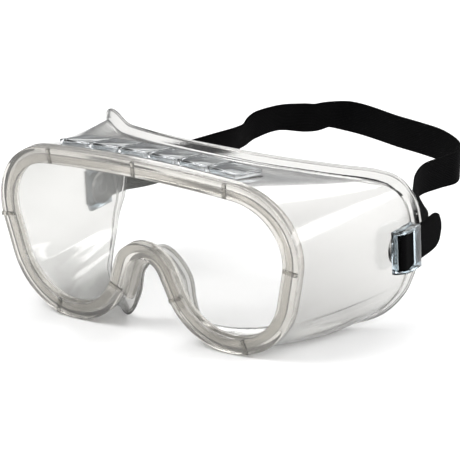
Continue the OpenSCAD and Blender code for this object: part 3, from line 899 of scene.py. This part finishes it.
class GOGGLES_OT_mask(bpy.types.Operator):
    """Mould the soft mask with its vent slots, its beaded flange and the nose saddle"""
    bl_idname = "goggles.mask"
    bl_label = "Mask"

    def slot_cutter(self, sizes):
        """Boxes that cut a slot under each vent hood."""
        boxes = []
        for node in vent_caps():
            low, high = (Vector(corner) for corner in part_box(node))
            middle = (low + high) / 2
            deselect_all()
            bpy.ops.mesh.primitive_cube_add(size=1, location=(
                middle.x, low.y + sizes.slot_back + sizes.slot_length / 2, low.z))
            box = bpy.context.object
            box.scale = (sizes.slot_width, sizes.slot_length, sizes.slot_height)
            boxes.append(box)
        for box in boxes:
            box.select_set(True)
        bpy.ops.object.join()
        bpy.ops.object.transform_apply(location=True, rotation=True, scale=True)
        return bpy.context.object

    def wall(self, shape, sizes):
        """The mask's wall, with real thickness and the vent slots."""
        mask = shaped_grid(
            "mask", len(shape.columns), sizes.deep, lambda i, j: shape.point(i, j / sizes.deep))
        wall = mask.modifiers.new("Wall", "SOLIDIFY")
        wall.thickness = sizes.wall
        wall.offset = -1
        apply_modifiers(mask)
        cutter = self.slot_cutter(sizes)
        cut = mask.modifiers.new("Slots", "BOOLEAN")
        cut.operation = "DIFFERENCE"
        cut.object = cutter
        apply_modifiers(mask)
        bpy.data.objects.remove(cutter)
        edit(mask, merge_doubles, outward)
        shade(mask, 30)
        finish(mask, BODY, "face_mask", "mask_pvc", the_material("Soft clear PVC"))

    def seal(self, shape):
        """The turned-out flange with its bead."""
        around = len(shape.columns)
        sections = [shape.flange(i) for i in range(around)]
        count = len(sections[0])
        seal = shaped_grid(
            "seal", around, count, lambda i, j: sections[i % around][j % count])
        edit(seal, outward)
        shade(seal, 60)
        finish(seal, BODY, "face_seal", "mask_pvc", the_material("Lip PVC"))

    def saddle(self, rounding):
        """The saddle that bears on the nose."""
        saddle = copy_of("nose_saddle", "saddle")
        edit(saddle, flat_faces)
        round_edges(saddle, rounding, angle=50)
        shade(saddle, 40)
        finish(saddle, BODY, "nose_saddle", "rim_pvc", the_material("Grey rim PVC"))

    def execute(self, context):
        sizes = context.scene.goggles_mask
        shape = MaskShape(context.scene.goggles_rim, sizes)
        self.wall(shape, sizes)
        self.seal(shape)
        self.saddle(context.scene.goggles_edges.stud)
        return {"FINISHED"}


class GOGGLES_OT_vents(bpy.types.Operator):
    """Round the vent hoods, sink a panel in each, and finish their tray"""
    bl_idname = "goggles.vents"
    bl_label = "Vents"

    def sink_panel(self, cap, sizes):
        """Insets and sinks the hood's top face."""
        select_only(cap)
        top = max(cap.data.polygons, key=lambda face: face.area * max(face.normal.z, 0))
        corners = set(top.vertices)
        highest = max(vertex.co.z for vertex in cap.data.vertices)
        if highest - max(cap.data.vertices[i].co.z for i in corners) > TOP_TOLERANCE:
            raise RuntimeError(f"{cap.name} has no top face")
        for face in cap.data.polygons:
            face.select = face.index == top.index
        for edge in cap.data.edges:
            edge.select = False
        for vertex in cap.data.vertices:
            vertex.select = vertex.index in corners
        bpy.ops.object.mode_set(mode="EDIT")
        bpy.ops.mesh.select_mode(type="FACE")
        bpy.ops.mesh.inset(thickness=sizes.panel, depth=-sizes.panel_drop)
        bpy.ops.object.mode_set(mode="OBJECT")

    def execute(self, context):
        sizes = context.scene.goggles_edges
        for node in vent_caps():
            cap = copy_of(node, node.replace("vent_cap", "vent_hood"))
            edit(cap, flat_faces)
            self.sink_panel(cap, sizes)
            round_edges(cap, sizes.vent)
            shade(cap)
            finish(cap, BODY, node, "mask_pvc", the_material("Vent PVC"))
        tray = copy_of("vent_tray", "vent_plate")
        shade(tray)
        finish(tray, BODY, "vent_tray", "mask_pvc", the_material("Soft clear PVC"))
        return {"FINISHED"}


class GOGGLES_OT_buckles(bpy.types.Operator):
    """Round the buckles, their bars, studs and lugs"""
    bl_idname = "goggles.buckles"
    bl_label = "Buckles"

    def execute(self, context):
        sizes = context.scene.goggles_edges
        for side in SIDES:
            for node, body, slot_name, material, width in (
                (f"buckle_{side}", STRAP_BODY, "buckle_clear", "Buckle plastic", sizes.buckle),
                (f"buckle_bar_{side}", STRAP_BODY, "buckle_clear", "Buckle plastic", sizes.stud),
                (f"stud_cap_{side}", BODY, "buckle_clear", "Buckle plastic", sizes.stud),
                (f"strap_lug_{side}", BODY, "mask_pvc", "Soft clear PVC", sizes.stud),
            ):
                piece = copy_of(node, node + "_moulded")
                edit(piece, flat_faces)
                round_edges(piece, width)
                shade(piece)
                finish(piece, body, node, slot_name, the_material(material))
        return {"FINISHED"}


class GOGGLES_OT_webbing(bpy.types.Operator):
    """Lay the elastic webbing along its route and through both buckles"""
    bl_idname = "goggles.webbing"
    bl_label = "Webbing"

    def buckle_run(self, sizes, side):
        """The webbing in one buckle: from its loose end, round the bar and back."""
        across = Vector((0, -math.sin(sizes.turn), math.cos(sizes.turn)))
        back = Vector((0, math.cos(sizes.turn), math.sin(sizes.turn)))
        stud = Vector((0, sizes.stud_y, sizes.stud_z))

        def place(out, along, rise=0.0):
            return Vector((side * (sizes.temple + out), 0, 0)) + stud + along * back + rise * across

        points = [place(*(number * MM for number in row)) for row in LOOSE_END]
        for k in range(FOLD_STEPS + 1):
            angle = math.pi * k / FOLD_STEPS
            points.append(place(
                sizes.bar_out + sizes.fold * math.cos(angle),
                sizes.bar_along - sizes.fold * math.sin(angle)))
        points.append(place(sizes.bar_out - sizes.fold, sizes.lead))
        return [(point, across) for point in points]

    def head_run(self, sizes):
        """The webbing from the left buckle round the back to the right one."""
        rows = [(i, x, y, z, math.radians(lean)) for i, (x, y, z, lean) in enumerate(STRAP_ROUTE)]
        run = []
        last = len(rows) - 1
        for i in range(last * ROUTE_STEPS + 1):
            u = i / ROUTE_STEPS
            here = smooth_row(rows, u)
            ahead = Vector(smooth_row(rows, min(u + LOOK_AHEAD, last))[:3])
            behind = Vector(smooth_row(rows, max(u - LOOK_AHEAD, 0))[:3])
            along = (ahead - behind).normalized()
            aside = Vector((0, 0, 1)).cross(along).normalized()
            up = along.cross(aside)
            across = up * math.cos(here[3]) + aside * math.sin(here[3])
            centre = Vector(here[:3]) * MM + Vector((0, 0, sizes.lens_centre))
            run.append((centre, across))
        return run

    def ribbon(self, sizes, path, reach):
        """A ribbon along a path whose points lie at the given reach from its start."""
        total = reach[-1]
        deselect_all()
        bpy.ops.mesh.primitive_grid_add(
            x_subdivisions=sizes.across, y_subdivisions=round(total / sizes.step), size=1)
        strap = bpy.context.object
        strap.name = "strap_webbing"
        layer = strap.data.uv_layers.active
        layer.name = "Webbing"
        for item in layer.data:
            item.uv = (item.uv.x * sizes.width / MM, item.uv.y * total / MM)
        spot = 0
        for vertex in sorted(strap.data.vertices, key=lambda v: v.co.y):
            flat_x, flat_y = vertex.co.x * sizes.width, (vertex.co.y + 0.5) * total
            while spot < len(reach) - 2 and reach[spot + 1] < flat_y:
                spot += 1
            t = (flat_y - reach[spot]) / (reach[spot + 1] - reach[spot])
            centre = path[spot][0].lerp(path[spot + 1][0], t)
            across = path[spot][1].lerp(path[spot + 1][1], t).normalized()
            end = min(flat_y, total - flat_y)
            if end < sizes.corner:
                cut = sizes.corner - math.sqrt(sizes.corner ** 2 - (sizes.corner - end) ** 2)
                flat_x *= 1 - 2 * cut / sizes.width
            vertex.co = centre + flat_x * across
        return strap

    def execute(self, context):
        sizes = context.scene.goggles_webbing
        left = self.buckle_run(sizes, 1)
        right = list(reversed(self.buckle_run(sizes, -1)))
        path = dense(left + self.head_run(sizes) + right)
        reach = [0.0]
        for (a, _), (b, _) in zip(path, path[1:]):
            reach.append(reach[-1] + (b - a).length)
        strap = self.ribbon(sizes, path, reach)
        solid = strap.modifiers.new("Thickness", "SOLIDIFY")
        solid.thickness = sizes.thick
        solid.offset = 0
        bevel = strap.modifiers.new("Bound edge", "BEVEL")
        bevel.width = sizes.thick * 0.3
        bevel.segments = 2
        bevel.angle_limit = math.radians(60)
        apply_modifiers(strap)
        edit(strap, outward)
        shade(strap, 50)
        finish(strap, STRAP_BODY, "head_strap", "webbing", the_material("Black elastic"),
               "strap_end_left", "strap_end_right")
        return {"FINISHED"}


class GOGGLES_OT_stage(bpy.types.Operator):
    """Set up the camera, the pale floor and the soft light"""
    bl_idname = "goggles.stage"
    bl_label = "Stage"

    def lamp(self, name, place, width, height, watts):
        """A soft rectangular lamp."""
        deselect_all()
        bpy.ops.object.light_add(type="AREA", location=place)
        made = bpy.context.object
        made.name = name
        made.data.shape = "RECTANGLE"
        made.data.size = width
        made.data.size_y = height
        made.data.energy = watts
        way = Vector(LAMP_TARGET) - Vector(place)
        made.rotation_euler = way.to_track_quat("-Z", "Y").to_euler()

    def camera(self, context):
        """The camera, aimed a little right of and above the lens centre."""
        stage = context.scene.goggles_stage
        centre = Vector((0, 0, context.scene.goggles_rim.centre))
        back = Vector((
            math.sin(stage.turn) * math.cos(stage.rise),
            -math.cos(stage.turn) * math.cos(stage.rise),
            math.sin(stage.rise)))
        right = Vector((math.cos(stage.turn), math.sin(stage.turn), 0))
        up = back.cross(right)
        place = centre + stage.distance * back
        target = centre + stage.aim_right * right + stage.aim_up * up
        deselect_all()
        bpy.ops.object.camera_add(location=place)
        made = bpy.context.object
        made.rotation_euler = (target - place).to_track_quat("-Z", "Y").to_euler()
        made.data.lens = stage.focal
        made.data.sensor_width = SENSOR
        context.scene.camera = made

    def floor(self, stage):
        """A plain pale floor."""
        deselect_all()
        bpy.ops.mesh.primitive_plane_add(size=stage.floor)
        made = bpy.context.object
        made.name = "floor"
        material, tree, shader = new_material("Pale floor")
        place = tree.nodes.new("ShaderNodeTexCoord").outputs["Object"]
        grain = noise(tree, place, 60.0).outputs["Fac"]
        tree.links.new(
            mixed(tree, grain, opaque(stage.floor_dark), opaque(stage.floor_light)),
            shader.inputs["Base Color"])
        shader.inputs["Roughness"].default_value = 0.9
        shader.inputs["Specular IOR Level"].default_value = 0.0
        dress(made, material)

    def room(self, context):
        """A pale room, darker below the level."""
        stage = context.scene.goggles_stage
        world = bpy.data.worlds.new("Studio")
        context.scene.world = world
        world.use_nodes = True
        tree = world.node_tree
        background = tree.nodes["Background"]
        split = tree.nodes.new("ShaderNodeSeparateXYZ")
        tree.links.new(
            tree.nodes.new("ShaderNodeTexCoord").outputs["Generated"], split.inputs["Vector"])
        height = ramp(tree, split.outputs["Z"], -0.05, 0.65)
        tree.links.new(
            mixed(tree, height, opaque(stage.room_low), opaque(stage.room_high)),
            background.inputs["Color"])
        background.inputs["Strength"].default_value = stage.room_light

    def execute(self, context):
        self.camera(context)
        self.floor(context.scene.goggles_stage)
        self.room(context)
        for lamp in LAMPS:
            self.lamp(*lamp)
        context.scene.view_settings.view_transform = "Standard"
        context.scene.cycles.transparent_max_bounces = 32
        return {"FINISHED"}


class GOGGLES_PT_panel(bpy.types.Panel):
    """Lists the steps that make the goggles"""
    bl_label = "Goggles"
    bl_idname = "GOGGLES_PT_panel"
    bl_space_type = "VIEW_3D"
    bl_region_type = "UI"
    bl_category = "Goggles"

    def draw(self, context):
        for operator in OPERATORS:
            self.layout.operator(operator.bl_idname)
        for group in SETTINGS:
            box = self.layout.box()
            settings = getattr(context.scene, group)
            box.label(text=SETTINGS[group].__doc__)
            for name in SETTINGS[group].__annotations__:
                box.prop(settings, name)


SETTINGS = {
    "goggles_rim": RimSizes,
    "goggles_mask": MaskSizes,
    "goggles_edges": EdgeSizes,
    "goggles_webbing": WebbingSizes,
    "goggles_finishes": Finishes,
    "goggles_stage": StageSettings,
}
OPERATORS = (
    GOGGLES_OT_finishes,
    GOGGLES_OT_lens,
    GOGGLES_OT_rim,
    GOGGLES_OT_clips,
    GOGGLES_OT_mask,
    GOGGLES_OT_vents,
    GOGGLES_OT_buckles,
    GOGGLES_OT_webbing,
    GOGGLES_OT_stage,
)


def register():
    for group, settings in SETTINGS.items():
        bpy.utils.register_class(settings)
        setattr(bpy.types.Scene, group, bpy.props.PointerProperty(type=settings))
    for operator in OPERATORS:
        bpy.utils.register_class(operator)
    bpy.utils.register_class(GOGGLES_PT_panel)


def unregister():
    bpy.utils.unregister_class(GOGGLES_PT_panel)
    for operator in reversed(OPERATORS):
        bpy.utils.unregister_class(operator)
    for group, settings in SETTINGS.items():
        delattr(bpy.types.Scene, group)
        bpy.utils.unregister_class(settings)


def main():
    """Makes the goggles."""
    register()
    bpy.ops.goggles.finishes()
    bpy.ops.goggles.lens()
    bpy.ops.goggles.rim()
    bpy.ops.goggles.clips()
    bpy.ops.goggles.mask()
    bpy.ops.goggles.vents()
    bpy.ops.goggles.buckles()
    bpy.ops.goggles.webbing()
    bpy.ops.goggles.stage()
    deselect_all()


if __name__ == "__main__":
    main()
